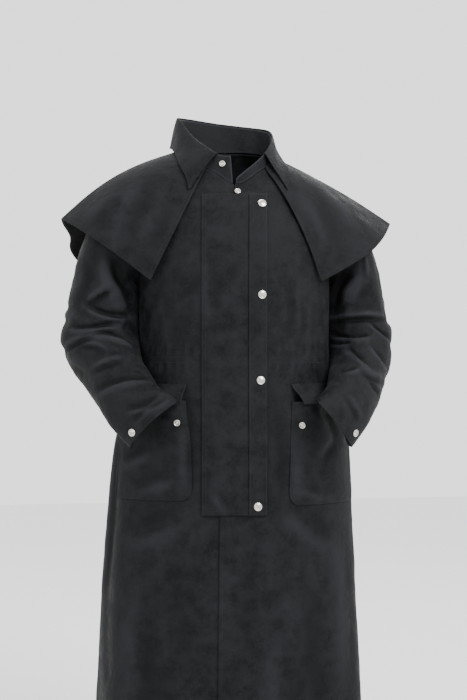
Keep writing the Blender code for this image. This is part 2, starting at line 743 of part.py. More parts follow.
def cape_inward(table, side, distance, drop):
    """Towards the body. Both pieces share one direction along the shoulder seam."""
    tables = (CAPE_FRONT, CAPE_BACK) if abs(distance - 1.0) < 0.01 else (table,)
    total = np.zeros(3)
    for one in tables:

        def surface(a, b):
            if a <= CAPE_MIDDLE:
                return cape_point(one, side, a, b)
            return cape_point(one, side, 2 * CAPE_MIDDLE - a, b) * np.array([-1, 1, 1])

        total += normal_of(surface, distance, max(drop, 0.02), CAPE_STEP_ROUND, CAPE_STEP_DROP)
    return unit(total) * side


def make_cape_piece(name, cloth, table, places):
    """A piece of the cape from (side, distance) places across it, laid over the arms and body."""
    points, inward = [], []
    for drop in np.linspace(0, 1, CAPE_ROWS):
        points.append([cape_point(table, side, distance, drop) for side, distance in places])
        inward.append([cape_inward(table, side, distance, drop) for side, distance in places])
    beneath = ["front_left", "front_right", "back", "sleeve_left", "sleeve_right"]
    wall(name, cloth, lay_grid(points, inward, beneath, CAPE_GAP), inward)


def make_cape(cloth):
    for side, word in ((1, "left"), (-1, "right")):
        places = [(side, d) for d in np.linspace(0, 1 - SHOULDER_SEAM, FRONT_CAPE_COLUMNS)]
        make_cape_piece(f"cape_front_{word}", cloth, CAPE_FRONT, places)
    half = np.linspace(1 + SHOULDER_SEAM, CAPE_MIDDLE, HALF_BACK_COLUMNS)
    places = [(-1, d) for d in half] + [(1, d) for d in half[-2::-1]]
    make_cape_piece("cape_back", cloth, CAPE_BACK, places)


# The storm flap over the closure, and the snap band along its free edge, by height.
Lap = namedtuple("Lap", "height left band right")
FLAP_EDGES = (
    Lap(-0.752, -0.0893, 0.0061, 0.0439),
    Lap(-0.550, -0.0871, 0.0086, 0.0466),
    Lap(-0.400, -0.0850, 0.0104, 0.0485),
    Lap(-0.270, -0.0856, 0.0096, 0.0477),
    Lap(-0.200, -0.0846, 0.0112, 0.0494),
    Lap(-0.140, -0.0820, 0.0150, 0.0534),
    Lap(-0.093, -0.0786, 0.0202, 0.0581),
)
BAND_INSET = 0.001
FLAP_COLUMNS = 8
BAND_COLUMNS = 4
FLAP_RISE = OVERLAP_LIFT + 0.0006
FLAP_SLOPE = 0.030


def flap_lift(from_left):
    return LAYER_GAP + CLOTH + FLAP_RISE * ease(from_left / FLAP_SLOPE)


def make_flap(cloth):
    above = np.linspace(FLAP_TOP, CHEST_Z, 8)
    below = np.linspace(CHEST_Z, FLAP_BOTTOM, 13)[1:]
    flap, flap_inward, band, band_inward = [], [], [], []
    for z in np.concatenate([above, below]):
        left, start, right = smooth(FLAP_EDGES, z)
        for rows, directions, xs, more in (
            (flap, flap_inward, np.linspace(left, right, FLAP_COLUMNS), 0.0),
            (band, band_inward, np.linspace(start, right - BAND_INSET, BAND_COLUMNS), LAYER_GAP + CLOTH),
        ):
            places = [front_place(x, z) for x in xs]
            lifts = [flap_lift(x - left) + more for x in xs]
            rows.append([body_point(t, d, lift) for lift, (t, d) in zip(lifts, places)])
            directions.append([-body_normal(t, d) for t, d in places])
    wall("storm_flap", cloth, flap, flap_inward)
    wall("snap_band", cloth, band, band_inward)


# The patch pockets, sewn on three sides and open at the top, and the flaps above them.
# The inner edge is given at the mouth, half way down and at the bottom.
Patch = namedtuple("Patch", "side mouth bottom inner_mouth inner_middle inner_bottom crumple slant")
LEFT_PATCH = Patch(1, -0.523, -0.735, 0.102, 0.0965, 0.0915, 0.0015, 0.020)
RIGHT_PATCH = Patch(-1, -0.519, -0.722, 0.117, 0.1080, 0.1075, 0.0036, 0.007)
POCKET_ROWS = (0.0, 0.10, 0.20, 0.32, 0.46, 0.60, 0.74, 0.84, 0.91, 1.0)
POCKET_COLUMNS = 11
POCKET_GAP = 1.6 * LAYER_GAP
POCKET_BULGE = 0.017
BULGE_END = 0.75
GAPE = 0.45
CLIP_WIDTH = 0.011
CLIP_HEIGHT = 0.09
FLAP_ROWS = (0.0, 0.2, 0.4, 0.6, 0.8, 1.0)
POCKET_FLAP_COLUMNS = 15
FLAP_FALL = 0.62
BUNCH_LIFT = 0.0018
BUNCH_TURNS = 34
BUNCH_END = 0.20


def pocket_bulge(across):
    """How far the mouth gapes, by share across from the inner edge. The outer part lies flat."""
    return POCKET_BULGE * math.sin(math.pi * across / GAPE) ** 0.8 if 0 < across < GAPE else 0.0


def make_pocket(name, cloth, patch):
    points, inward = [], []
    side = patch.side
    outer_turn = front_place(side * POCKET_OUTER, (patch.mouth + patch.bottom) / 2)[0]
    for b in POCKET_ROWS:
        z = patch.mouth + (patch.bottom - patch.mouth) * b
        clip = CLIP_WIDTH * max(0.0, (b - 1 + CLIP_HEIGHT) / CLIP_HEIGHT)
        upper, lower = ease(b / 0.5), ease((b - 0.5) / 0.5)
        inner = patch.inner_mouth + (patch.inner_middle - patch.inner_mouth) * upper
        inner += (patch.inner_bottom - patch.inner_middle) * lower
        first = front_place(side * (inner + clip), z)[0]
        last = outer_turn - side * clip * 180
        row, row_inward = [], []
        for a in np.linspace(0, 1, POCKET_COLUMNS):
            turn, down = first + (last - first) * a, down_at(z)
            lift = LAYER_GAP + CLOTH + pocket_bulge(a) * (1 - ease(b / BULGE_END))
            row.append(body_point(turn, down, lift))
            row_inward.append(-body_normal(turn, down))
        points.append(row)
        inward.append(row_inward)
    front = "front_left" if side > 0 else "front_right"
    wall(name, cloth, lay_grid(points, inward, [front], POCKET_GAP, 0), inward)


def make_pocket_flap(name, cloth, patch):
    """The flap hangs from its top edge and lies bunched over the gaping mouth."""
    points, inward = [], []
    side = patch.side
    outer_turn = front_place(side * POCKET_FLAP_OUTER, POCKET_FLAP_TOP)[0]
    for b in FLAP_ROWS:
        z = POCKET_FLAP_TOP + (POCKET_FLAP_BOTTOM - POCKET_FLAP_TOP) * b
        first = front_place(side * (patch.inner_mouth - 0.002 + patch.slant * b), z)[0]
        row, row_inward = [], []
        for a in np.linspace(0, 1, POCKET_FLAP_COLUMNS):
            turn, down = first + (outer_turn - first) * a, down_at(z)
            over = CLOTH + LAYER_GAP + pocket_bulge(a + 0.1 * b)
            bunched = BUNCH_LIFT + patch.crumple * (1 + math.cos(a * BUNCH_TURNS))
            over += bunched * (1 - ease((a - BUNCH_END) / BUNCH_END))
            lift = LAYER_GAP + CLOTH + over * ease(b / FLAP_FALL)
            row.append(body_point(turn, down, lift))
            row_inward.append(-body_normal(turn, down))
        points.append(row)
        inward.append(row_inward)
    wall(name, cloth, points, inward)


# Snap fasteners: a domed cap, and a ring stud with a hollow middle.
Place = namedtuple("Place", "name x z")
Seat = namedtuple("Seat", "name on x z radius profile")
CUFF_SNAP_RADIUS = 0.0077
SNAP_GAP = 0.0009
BAND_SNAP_GAP = 0.0005
BAND_FACE = LAYER_GAP + CLOTH + FLAP_RISE + LAYER_GAP + CLOTH
SEAT_START_Y = -0.40
CAP_PROFILE = ((1.0, 0.0), (1.0, 0.35), (0.86, 0.75), (0.45, 1.0))
STUD_PROFILE = ((1.0, 0.0), (1.0, 0.45), (0.80, 1.0), (0.50, 1.0), (0.42, 0.40))
SNAP_SIDES = 14
SNAP_HEIGHT = 0.0028


def snap(name, metal, centre, normal, radius, profile):
    """A turned piece: rings of the profile (share of radius, share of height) about the normal."""
    level = unit(np.cross(normal, np.array([0.0, 0.0, 1.0])))
    upright = np.cross(level, normal)
    mesh = bmesh.new()
    rings = []
    for reach, height in profile:
        ring = []
        for k in range(SNAP_SIDES):
            turn = 2 * math.pi * k / SNAP_SIDES
            out = (level * math.cos(turn) + upright * math.sin(turn)) * reach * radius
            ring.append(mesh.verts.new(centre + out + normal * height * SNAP_HEIGHT))
        rings.append(ring)
    for lower, upper in zip(rings, rings[1:]):
        for k in range(SNAP_SIDES):
            following = (k + 1) % SNAP_SIDES
            mesh.faces.new((lower[k], lower[following], upper[following], upper[k]))
    mesh.faces.new(rings[0])
    mesh.faces.new(rings[-1])
    bmesh.ops.recalc_face_normals(mesh, faces=mesh.faces[:])
    finish(name, metal, mesh)


def band_snap(metal, place):
    """Seats a cap on the snap band."""
    turn, down = front_place(place.x, place.z)
    centre = body_point(turn, down, BAND_FACE + BAND_SNAP_GAP)
    snap(place.name, metal, centre, body_normal(turn, down), SNAP_RADIUS, CAP_PROFILE)


def make_snaps(metal):
    for place in (
        Place("flap_snap_1", 0.0443, -0.1145),
        Place("flap_snap_2", 0.0364, -0.3012),
        Place("flap_snap_3", 0.0338, -0.4780),
        Place("flap_snap_4", 0.0241, -0.7344),
    ):
        band_snap(metal, place)
    for seat in (
        Seat("pocket_snap_right", "pocket_right", -0.1376, -0.5635, STUD_RADIUS, STUD_PROFILE),
        Seat("pocket_snap_left", "pocket_left", 0.1215, -0.5702, STUD_RADIUS, STUD_PROFILE),
        Seat("neck_snap_upper", "collar_stand", -0.0300, -0.0240, STUD_RADIUS, STUD_PROFILE),
        Seat("neck_snap_lower", "front_left", -0.0030, -0.0850, STUD_RADIUS, STUD_PROFILE),
        Seat("cuff_snap_right", "sleeve_right", -0.2330, -0.5800, CUFF_SNAP_RADIUS, CAP_PROFILE),
        Seat("cuff_snap_left", "sleeve_left", 0.2240, -0.5850, CUFF_SNAP_RADIUS, CAP_PROFILE),
    ):
        snap_on(metal, seat)


def snap_on(metal, seat):
    """Seats a snap on the piece that a line from the front first meets."""
    start = np.array([seat.x, SEAT_START_Y, seat.z])
    found, place, normal, _ = bpy.data.objects[seat.on].ray_cast(start, np.array([0.0, 1.0, 0.0]))
    if not found:
        raise ValueError(f"nothing to seat {seat.name} on")
    normal = unit(np.array(normal))
    centre = np.array(place) + normal * SNAP_GAP
    snap(seat.name, metal, centre, normal, seat.radius, seat.profile)


def main():
    clear_scene()
    cloth = material("waxed_cotton", CLOTH_HEX, 0.7, 0.0)
    metal = material("nickel_plated_brass", METAL_HEX, 0.3, 1.0)
    make_body(cloth)
    make_sleeve("sleeve_left", cloth, 1, LEFT_CREASES)
    make_sleeve("sleeve_right", cloth, -1, RIGHT_CREASES)
    make_stand(cloth)
    make_cape(cloth)
    make_leaf(cloth)
    make_flap(cloth)
    for patch, word in ((LEFT_PATCH, "left"), (RIGHT_PATCH, "right")):
        make_pocket(f"pocket_{word}", cloth, patch)
        make_pocket_flap(f"pocket_flap_{word}", cloth, patch)
    make_snaps(metal)


main()
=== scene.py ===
"""A long duster coat of waxed cotton with a shoulder cape, hollow, as it hangs when it is worn."""

import math
from collections import namedtuple

import bmesh
import bpy
import numpy as np
from mathutils import Matrix, Vector, kdtree, noise
from mathutils.bvhtree import BVHTree


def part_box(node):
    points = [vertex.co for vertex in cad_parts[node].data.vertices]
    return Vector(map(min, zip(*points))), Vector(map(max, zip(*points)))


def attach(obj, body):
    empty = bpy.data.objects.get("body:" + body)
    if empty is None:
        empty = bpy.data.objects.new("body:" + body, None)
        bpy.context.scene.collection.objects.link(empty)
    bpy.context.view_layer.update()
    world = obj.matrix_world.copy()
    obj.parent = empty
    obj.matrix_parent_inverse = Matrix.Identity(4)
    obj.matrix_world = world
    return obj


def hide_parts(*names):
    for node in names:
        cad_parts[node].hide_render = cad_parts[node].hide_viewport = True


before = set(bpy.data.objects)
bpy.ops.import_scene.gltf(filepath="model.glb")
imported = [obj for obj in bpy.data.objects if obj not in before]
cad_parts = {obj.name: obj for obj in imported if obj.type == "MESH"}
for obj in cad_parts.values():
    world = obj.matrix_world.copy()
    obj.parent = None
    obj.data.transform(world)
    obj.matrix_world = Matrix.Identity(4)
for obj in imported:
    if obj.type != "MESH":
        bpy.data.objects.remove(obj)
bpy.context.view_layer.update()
scene = bpy.context.scene

# The camera stands level at chest height, 3.2 m off, a little to the coat's right.
# The photograph is 467 by 700 pixels and crops the coat above its hem.
CAMERA_TURN = math.radians(10)
CAMERA_DISTANCE = 3.2
CAMERA_AIM = Vector((0.0056, -0.0469, -0.415))
SENSOR = 36
FOCAL_LENGTH = 76.54

sight = Vector((math.sin(CAMERA_TURN), math.cos(CAMERA_TURN), 0))
camera = bpy.data.objects.new("camera", bpy.data.cameras.new("camera"))
camera.data.sensor_width = SENSOR
camera.data.lens = FOCAL_LENGTH
camera.location = CAMERA_AIM - sight * CAMERA_DISTANCE
camera.rotation_euler = (math.pi / 2, 0, -CAMERA_TURN)
scene.collection.objects.link(camera)
scene.camera = camera

# The coat's body: two fronts and a back of waxed cotton, sewn at the shoulders and sides.
# The cloth is cut flat, turned in at its edges and topstitched, and it creases where it is
# pulled and held. Each piece starts from the outer face of its solid.
CLOTH_THICKNESS = 0.0016
BODY_MIDDLE = Vector((0, -0.045, -0.6))
# how often each face is divided
FINE = 3
COARSE = 2
# further than anything here
NO_LIMIT = 9.0

# sizes of the patterns in the cloth and the thread
WAX_PATCH = 0.032
GRAIN = 0.004
CRUMPLE = 0.013
THREAD_TWIST = 0.0006


def linear(hex_colour):
    """An sRGB hex colour as linear red, green, blue and alpha."""
    channels = [int(hex_colour[i:i + 2], 16) / 255 for i in (1, 3, 5)]
    return [c / 12.92 if c <= 0.04045 else ((c + 0.055) / 1.055) ** 2.4 for c in channels] + [1]


def add_node(tree, kind, settings=(), values=(), links=()):
    """Adds a shader node with its settings, its sockets' values and the links into it."""
    made = tree.nodes.new(kind)
    for name, value in dict(settings).items():
        setattr(made, name, value)
    for socket, value in dict(values).items():
        made.inputs[socket].default_value = value
    for socket, source in dict(links).items():
        tree.links.new(source, made.inputs[socket])
    return made


def blend(tree, share, first, second):
    """A colour between two, by a share. Each of the two is a hex colour or a socket."""
    made = add_node(tree, "ShaderNodeMix", {"data_type": "RGBA"}, links={0: share})
    for socket, colour in ((made.inputs[6], first), (made.inputs[7], second)):
        if isinstance(colour, str):
            socket.default_value = linear(colour)
        else:
            tree.links.new(colour, socket)
    return made.outputs[2]


def new_material(name):
    """An empty material with nodes."""
    made = bpy.data.materials.new(name)
    made.use_nodes = True
    made.node_tree.nodes.clear()
    return made


def cloth_material(name, colour, worn):
    """Waxed cotton: near-black and dull, with patches where the wax has settled or rubbed off, worn
    pale at its edges, with painted shade in the troughs of its folds and rubbing with a painted
    highlight on their ridges.
    """
    made = new_material(name)
    tree = made.node_tree
    place = add_node(tree, "ShaderNodeTexCoord").outputs["Object"]
    wear_and_fold_shading = add_node(tree, "ShaderNodeAttribute", {"attribute_name": "wear_and_fold_shading"}).outputs["Fac"]
    # wax settles in soft patches
    patches = add_node(tree, "ShaderNodeTexNoise",
                       values={"Scale": 1 / WAX_PATCH, "Detail": 5, "Roughness": 0.62},
                       links={"Vector": place}).outputs["Fac"]
    # the weave is too fine to show, so its grain is drawn several threads wide
    grain = add_node(tree, "ShaderNodeTexNoise",
                     values={"Scale": 1 / GRAIN, "Detail": 4, "Roughness": 0.7},
                     links={"Vector": place}).outputs["Fac"]
    # small crumples that stay in the waxed cloth
    crumple = add_node(tree, "ShaderNodeTexNoise",
                       values={"Scale": 1 / CRUMPLE, "Detail": 3, "Distortion": 0.8},
                       links={"Vector": place}).outputs["Fac"]
    mottled = add_node(tree, "ShaderNodeMapRange", values={"From Min": 0.38, "From Max": 0.64},
                       links={"Value": patches}).outputs["Result"]
    grained = add_node(tree, "ShaderNodeMapRange",
                       values={"From Min": 0.3, "From Max": 0.7, "To Max": 0.4},
                       links={"Value": grain}).outputs["Result"]
    flecked = blend(tree, grained, blend(tree, mottled, colour, worn), "#17181a")
    # the paler colour is real rubbing on the worn edges, and on the ridges of the folds both rubbing
    # and a painted highlight
    rubbed_and_ridge_lit = blend(tree, wear_and_fold_shading, flecked, "#28292d")
    # painted shade: the troughs of the folds are darkened towards near-black, standing in for the shade
    # that falls in the creases
    painted_crease_shade = add_node(tree, "ShaderNodeMapRange",
                       values={"From Min": 0, "From Max": DEEPEST_CREASE_SHADE, "To Max": 0.75},
                       links={"Value": wear_and_fold_shading}).outputs["Result"]
    shaded = blend(tree, painted_crease_shade, rubbed_and_ridge_lit, "#020203")
    shine = add_node(tree, "ShaderNodeMapRange", values={"To Min": 0.56, "To Max": 0.78},
                     links={"Value": mottled}).outputs["Result"]
    crumpled = add_node(tree, "ShaderNodeBump", values={"Strength": 0.6, "Distance": 0.0020},
                        links={"Height": crumple}).outputs["Normal"]
    rough = add_node(tree, "ShaderNodeBump", values={"Strength": 0.35, "Distance": 0.0006},
                     links={"Height": grain, "Normal": crumpled}).outputs["Normal"]
    looks = {"Sheen Weight": 0.015, "Sheen Roughness": 0.5, "Specular IOR Level": 0.085}
    drawn = {"Base Color": shaded, "Roughness": shine, "Normal": rough}
    surface = add_node(tree, "ShaderNodeBsdfPrincipled", values=looks, links=drawn).outputs["BSDF"]
    add_node(tree, "ShaderNodeOutputMaterial", links={"Surface": surface})
    return made


def thread_material(name, colour):
    """Waxed polyester thread: a little lighter than the cloth, with a soft shine on each stitch."""
    made = new_material(name)
    tree = made.node_tree
    place = add_node(tree, "ShaderNodeTexCoord").outputs["Object"]
    # the twist of the thread, drawn a little coarse so that it shows
    twist = add_node(tree, "ShaderNodeTexNoise", values={"Scale": 1 / THREAD_TWIST, "Detail": 1},
                     links={"Vector": place}).outputs["Fac"]
    tone = blend(tree, twist, colour, "#08090a")
    surface = add_node(tree, "ShaderNodeBsdfPrincipled",
                       values={"Roughness": 0.6, "Specular IOR Level": 0.25},
                       links={"Base Color": tone}).outputs["BSDF"]
    add_node(tree, "ShaderNodeOutputMaterial", links={"Surface": surface})
    return made


# how the outer face is found: points closer than this are one, triangles closer to flat than
# these angles join into quads, and edges sharper than the last one part the wall's two faces
MERGE_DISTANCE = 0.00003
JOIN_FACE_ANGLE = math.radians(50)
JOIN_SHAPE_ANGLE = math.radians(60)
RIM_ANGLE = math.radians(66)


def outer_skin(node, middle):
    """The outer face of a wall, cut from its solid along the sharp edges of its rims."""
    skin = bmesh.new()
    skin.from_mesh(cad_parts[node].data)
    bmesh.ops.remove_doubles(skin, verts=skin.verts, dist=MERGE_DISTANCE)
    bmesh.ops.join_triangles(skin, faces=skin.faces, angle_face_threshold=JOIN_FACE_ANGLE,
                             angle_shape_threshold=JOIN_SHAPE_ANGLE)
    unseen = set(skin.faces)
    sheets = []
    while unseen:
        first = unseen.pop()
        sheet = {first}
        waiting = [first]
        while waiting:
            face = waiting.pop()
            for edge in face.edges:
                if len(edge.link_faces) != 2 or edge.calc_face_angle() > RIM_ANGLE:
                    continue
                for other in edge.link_faces:
                    if other in unseen:
                        unseen.discard(other)
                        sheet.add(other)
                        waiting.append(other)
        sheets.append(sheet)
    sheets.sort(key=lambda sheet: sum(face.calc_area() for face in sheet))
    centre = middle or sum((v.co for v in skin.verts), Vector()) / len(skin.verts)

    def outwardness(sheet):
        return sum(f.calc_area() * f.normal.dot(f.calc_center_median() - centre) for f in sheet)

    outer = max(sheets[-2:], key=outwardness)
    bmesh.ops.delete(skin, geom=[face for face in skin.faces if face not in outer], context="FACES")
    return skin


def fine_piece(name, skin, levels):
    """An object whose mesh is the skin, subdivided into a smooth fine one."""
    piece = bpy.data.objects.new(name, bpy.data.meshes.new(name))
    skin.to_mesh(piece.data)
    skin.free()
    scene.collection.objects.link(piece)
    fine = piece.modifiers.new("fine", "SUBSURF")
    fine.levels = levels
    fine.render_levels = levels
    fine.boundary_smooth = "PRESERVE_CORNERS"
    graph = bpy.context.evaluated_depsgraph_get()
    piece.data = bpy.data.meshes.new_from_object(piece.evaluated_get(graph))
    piece.modifiers.clear()
    piece.data.name = name
    return piece


def tree_of(pieces):
    """A search tree over the faces of several pieces."""
    joined = bmesh.new()
    for piece in pieces:
        joined.from_mesh(piece.data)
    tree = BVHTree.FromBMesh(joined)
    joined.free()
    return tree


# a fold as it is seen from one side: its two ends, across and up, the share by which it bows
# sideways, its half width and its depth
Fold = namedtuple("Fold", "side start end bow width depth")

# each side's line of sight and the direction that counts as across
LOOKS = {
    "front": (Vector((0, 1, 0)), Vector((1, 0, 0))),
    "back": (Vector((0, -1, 0)), Vector((1, 0, 0))),
    "left": (Vector((-1, 0, 0)), Vector((0, 1, 0))),
    "right": (Vector((1, 0, 0)), Vector((0, 1, 0))),
}

# a fold's section in shares of its width and depth: the trough, the cloth rolled up beside it,
# and how far out it all ends. Towards its ends it grows shallow by the power given
FOLD_STEPS = 8
ROLL_HEIGHT = 0.75
ROLL_PLACE = 1.7
FOLD_REACH = 3
END_POWER = 0.7


def fold_line(tree, fold):
    """Points along a fold, found on the cloth by looking at it straight from the fold's side."""
    look, across = LOOKS[fold.side]
    up = Vector((0, 0, 1))
    start = across * fold.start[0] + up * fold.start[1]
    end = across * fold.end[0] + up * fold.end[1]
    sideways = look.cross(end - start)
    points = []
    for step in range(FOLD_STEPS + 1):
        t = step / FOLD_STEPS
        flat = start.lerp(end, t) + sideways * fold.bow * 4 * t * (1 - t)
        place = tree.ray_cast(flat - look * 2, look)[0]
        if place:
            points.append(place)
    return np.array(points)


def fold_heights(points, normals, fold, line):
    """How far each point moves out for one fold: a trough, with the cloth rolled up beside it."""
    heights = np.zeros(len(points))
    if len(line) < 2:
        return heights
    near = np.full(len(points), NO_LIMIT)
    offset = np.zeros(len(points))
    along = np.zeros(len(points))
    for k in range(len(line) - 1):
        start = line[k]
        run = line[k + 1] - start
        share = np.clip((points - start) @ run / (run @ run), 0, 1)
        gap = points - start - share[:, None] * run
        distance = np.linalg.norm(gap, axis=1)
        side = np.sign(np.einsum("ij,ij->i", np.cross(run, normals), gap))
        closer = distance < near
        near[closer] = distance[closer]
        offset[closer] = (distance * side)[closer]
        along[closer] = (k + share[closer]) / (len(line) - 1)
    beside = offset / fold.width
    taper = np.sin(np.pi * np.clip(along, 0.02, 0.98)) ** END_POWER
    fall = np.exp(-np.clip(near / fold.width - FOLD_REACH, 0, NO_LIMIT) ** 2)
    section = ROLL_HEIGHT * np.exp(-(beside - ROLL_PLACE) ** 2) - np.exp(-beside * beside)
    return fold.depth * taper * fall * section


def edge_places(piece):
    """The points of the piece's edges, in order round each loop."""
    mesh = bmesh.new()
    mesh.from_mesh(piece.data)
    after = {}
    for edge in mesh.edges:
        if edge.is_boundary:
            loop = edge.link_loops[0]
            after[loop.vert.index] = loop.link_loop_next.vert.index
    places = {v.index: v.co.copy() for v in mesh.verts}
    mesh.free()
    loops = []
    while after:
        start = next(iter(after))
        loop, at = [], start
        while at in after:
            loop.append(places[at])
            at = after.pop(at)
        loops.append(loop)
    return loops


# stitches, a little coarser than real ones so that they show, and how far in their rows lie
STITCH_PITCH = 0.0050
STITCH_LENGTH = 0.0035
STITCH_WIDTH = 0.0010
EDGE_ROWS = (0.0026, 0.0090)
SEAM_ROW = (0.0075,)
LINE_INSET = 0.002
# how closely the rim is followed, the share of its inset at which a stitch must still lie from
# the rim, and how far from the cloth its place may be looked for
RIM_PITCH = 0.001
ROW_SLACK = 0.93
SEWN_REACH = 0.009


def evenly(places, pitch):
    """Points at an even pitch along a line of places."""
    found = [places[0]]
    rest = pitch
    for a, b in zip(places, places[1:]):
        run = (b - a).length
        while rest <= run:
            found.append(a.lerp(b, rest / run))
            rest += pitch
        rest -= run
    return found


def sew(piece, rows, top, lines):
    """Rows of stitches inside a piece's edges, below a height, and along lines across the piece."""
    cloth = tree_of([piece])
    loops = edge_places(piece)
    rim = [place for loop in loops for place in evenly(loop + loop[:1], RIM_PITCH)]
    rims = kdtree.KDTree(len(rim))
    for i, place in enumerate(rim):
        rims.insert(place, i)
    rims.balance()
    runs = [(evenly(line, STITCH_PITCH), LINE_INSET) for line in lines if len(line) > 1]
    for loop in loops:
        for inset in rows:
            inner = []
            for before, place, after in zip(loop[-1:] + loop[:-1], loop, loop[1:] + loop[:1]):
                across = cloth.find_nearest(place)[1].cross(after - before)
                inner.append(place + across.normalized() * inset)
            runs.append((evenly(inner + inner[:1], STITCH_PITCH), inset * ROW_SLACK))
    sewn = bmesh.new()
    for run, inset in runs:
        for a, b in zip(run, run[1:]):
            place, normal, _, away = cloth.find_nearest((a + b) / 2)
            if away > SEWN_REACH or place.z > top or rims.find(place)[2] < inset:
                continue
            along = (b - a).normalized()
            across = normal.cross(along).normalized()
            turned = Matrix((along, across, along.cross(across))).transposed().to_4x4()
            shape = Matrix.Diagonal((STITCH_LENGTH / 2, STITCH_WIDTH / 2, STITCH_WIDTH / 2.4, 1))
            bmesh.ops.create_icosphere(sewn, subdivisions=1, radius=1,
                                       matrix=Matrix.Translation(place) @ turned @ shape)
    name = piece.name.replace("_cloth", "_stitches")
    stitches = bpy.data.objects.new(name, bpy.data.meshes.new(name))
    sewn.to_mesh(stitches.data)
    sewn.free()
    stitches.data.materials.append(sewing_thread)
    stitches.data.shade_smooth()
    scene.collection.objects.link(stitches)
    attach(stitches, "root")
    return stitches


# the surface between the folds: broad ripples, small crinkles, and puckers along the edges, each
# with its height and its size. Folds and ripples fade to a share of themselves at the edges, and
# around the snaps, where the cloth is held, folds fade away
RIPPLE = 0.0011
RIPPLE_SIZE = 0.055
CRINKLE = 0.00045
CRINKLE_SIZE = 0.016
CRINKLE_SHIFT = Vector((5, 1, 3))
PUCKER = 0.0009
PUCKER_SIZE = 0.011
PUCKER_REACH = 0.012
EDGE_FADE = 0.010
FOLDS_AT_EDGE = 0.25
RIPPLES_AT_EDGE = 0.2
CALM_RADIUS = 0.022
CALM_START = 0.4

# painted shade and light on the folds, and wear on the edges: the fold height at which a trough's
# painted shade and a ridge's rubbing and painted highlight are full, how far a fold darkens or pales
# the cloth, how far the worn edges pale it, and their rubbed width
FULL_FOLD_SHADING_HEIGHT = 0.006
DEEPEST_CREASE_SHADE = -0.6
RIDGE_WEAR_AND_HIGHLIGHT = 0.4
PALEST_EDGE = 0.9
EDGE_WEAR_WIDTH = 0.0022


def crease_cloth(piece, lines, calm=(), ripple=1.0, worn_edge=0.12):
    """Presses the folds, ripples and puckers into a piece, and marks where it is rubbed and where shade
    and light are painted on its folds.
    """
    mesh = piece.data
    count = len(mesh.vertices)
    points = np.empty((count, 3))
    normals = np.empty((count, 3))
    mesh.vertices.foreach_get("co", points.ravel())
    mesh.vertices.foreach_get("normal", normals.ravel())
    heights = np.zeros(count)
    for fold, line in lines:
        heights += fold_heights(points, normals, fold, line)
    for centre in calm:
        distance = np.linalg.norm(points - np.array(centre), axis=1)
        heights *= np.clip(distance / CALM_RADIUS - CALM_START, 0, 1)
    edges = np.array([place for loop in edge_places(piece) for place in loop])
    to_edge = np.array([np.linalg.norm(edges - p, axis=1).min() for p in points])
    waves = np.empty(count)
    for i in range(count):
        at = Vector(points[i])
        waves[i] = RIPPLE * ripple * noise.noise(at / RIPPLE_SIZE)
        waves[i] += CRINKLE * ripple * noise.noise(at / CRINKLE_SIZE + CRINKLE_SHIFT)
        waves[i] += PUCKER * noise.noise(at / PUCKER_SIZE) * math.exp(-(to_edge[i] / PUCKER_REACH) ** 2)
    inset = np.clip(to_edge / EDGE_FADE, 0, 1)
    total = heights * (FOLDS_AT_EDGE + (1 - FOLDS_AT_EDGE) * inset)
    total += waves * (RIPPLES_AT_EDGE + (1 - RIPPLES_AT_EDGE) * inset)
    mesh.vertices.foreach_set("co", (points + normals * total[:, None]).ravel())
    wear_and_fold_shading = mesh.attributes.new("wear_and_fold_shading", "FLOAT", "POINT")
    # painted shade in the folds' troughs and painted highlight with rubbing on their ridges, from the
    # fold height; the edges add real wear
    worn = np.clip(heights / FULL_FOLD_SHADING_HEIGHT, DEEPEST_CREASE_SHADE, RIDGE_WEAR_AND_HIGHLIGHT)
    worn += worn_edge * np.exp(-(to_edge / EDGE_WEAR_WIDTH) ** 2)
    wear_and_fold_shading.data.foreach_set("value", np.clip(worn, DEEPEST_CREASE_SHADE, PALEST_EDGE))
    mesh.update()


def finish_cloth(piece, node, rows=EDGE_ROWS, top=NO_LIMIT, lines=()):
    """Sews a piece, gives it its thickness and material, hangs it from the root body and hides its
    solid.
    """
    stitches = sew(piece, rows, top, lines)
    piece.data.materials.clear()
    piece.data.materials.append(waxed_cotton)
    piece.data.shade_smooth()
    wall = piece.modifiers.new("thickness", "SOLIDIFY")
    wall.thickness = CLOTH_THICKNESS
    wall.offset = -1
    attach(piece, "root")
    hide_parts(node)


def snap_places():
    """The middles of the snaps, where the cloth is held flat."""
    return [sum(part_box(node), Vector()) / 2 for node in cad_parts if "_snap" in node]


# dry waxed cotton looks almost black, mottled between these two tones; the material paints shade into
# its hollows and a soft blue-grey highlight onto its ridges
waxed_cotton = cloth_material("waxed_cotton", "#030304", "#151618")
# the thread is a shade lighter than the cloth
sewing_thread = thread_material("sewing_thread", "#17181a")

